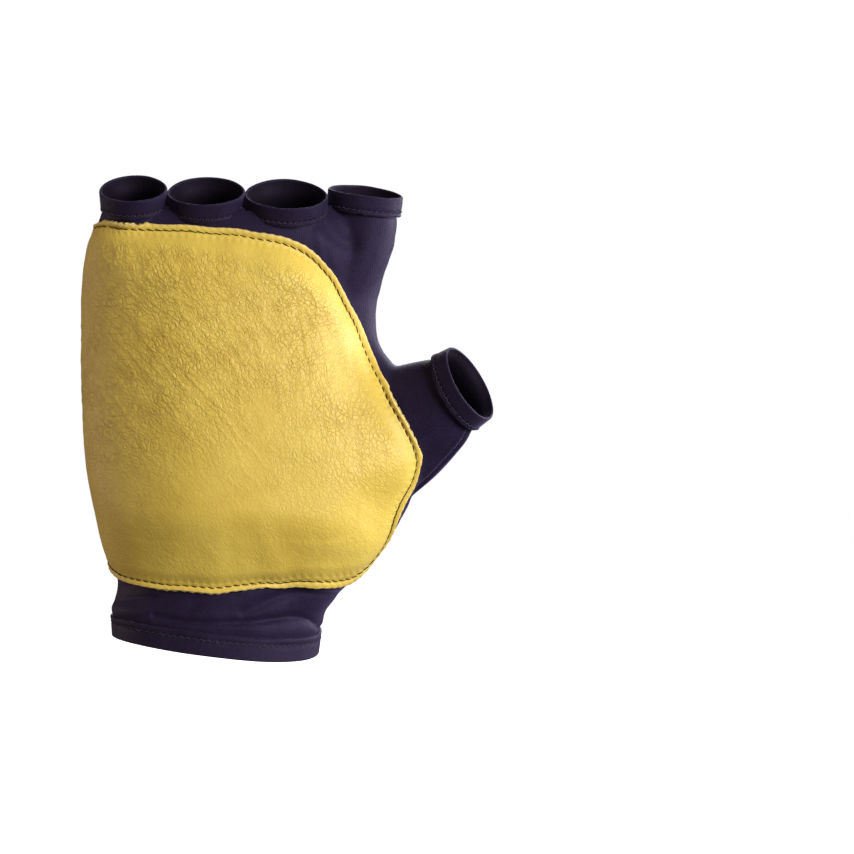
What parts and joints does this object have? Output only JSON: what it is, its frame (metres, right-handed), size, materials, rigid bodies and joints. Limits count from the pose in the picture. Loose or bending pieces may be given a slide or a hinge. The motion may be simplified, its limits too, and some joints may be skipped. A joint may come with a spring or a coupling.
{
  "type": "impact glove",
  "caption": "Right-hand fingerless impact glove: a knitted shell in its worn form, turned hems at the open mouths and a padded leather palm wrapped round the little-finger side.",
  "frame": {"origin": "centre of the cuff's mouth, where the hand goes in", "axes": "+Z along the hand towards the fingers, +Y out of the back of the hand, +X towards the thumb; the palm faces -Y"},
  "size_m": [0.1246, 0.0516, 0.1467],
  "materials": {
    "knit": "fine rib knit of dark navy nylon, matt",
    "hem": "the same knit, turned over and stitched",
    "leather": "golden yellow grain leather, softly creased, with a low sheen"
  },
  "bodies": {
    "root": {"back_panel": "knit", "palm_panel": "knit", "little_hem": "hem", "ring_hem": "hem", "middle_hem": "hem", "index_hem": "hem", "thumb_hem": "hem", "cuff_hem": "hem", "palm_pad": "leather"}
  },
  "joints": []
}
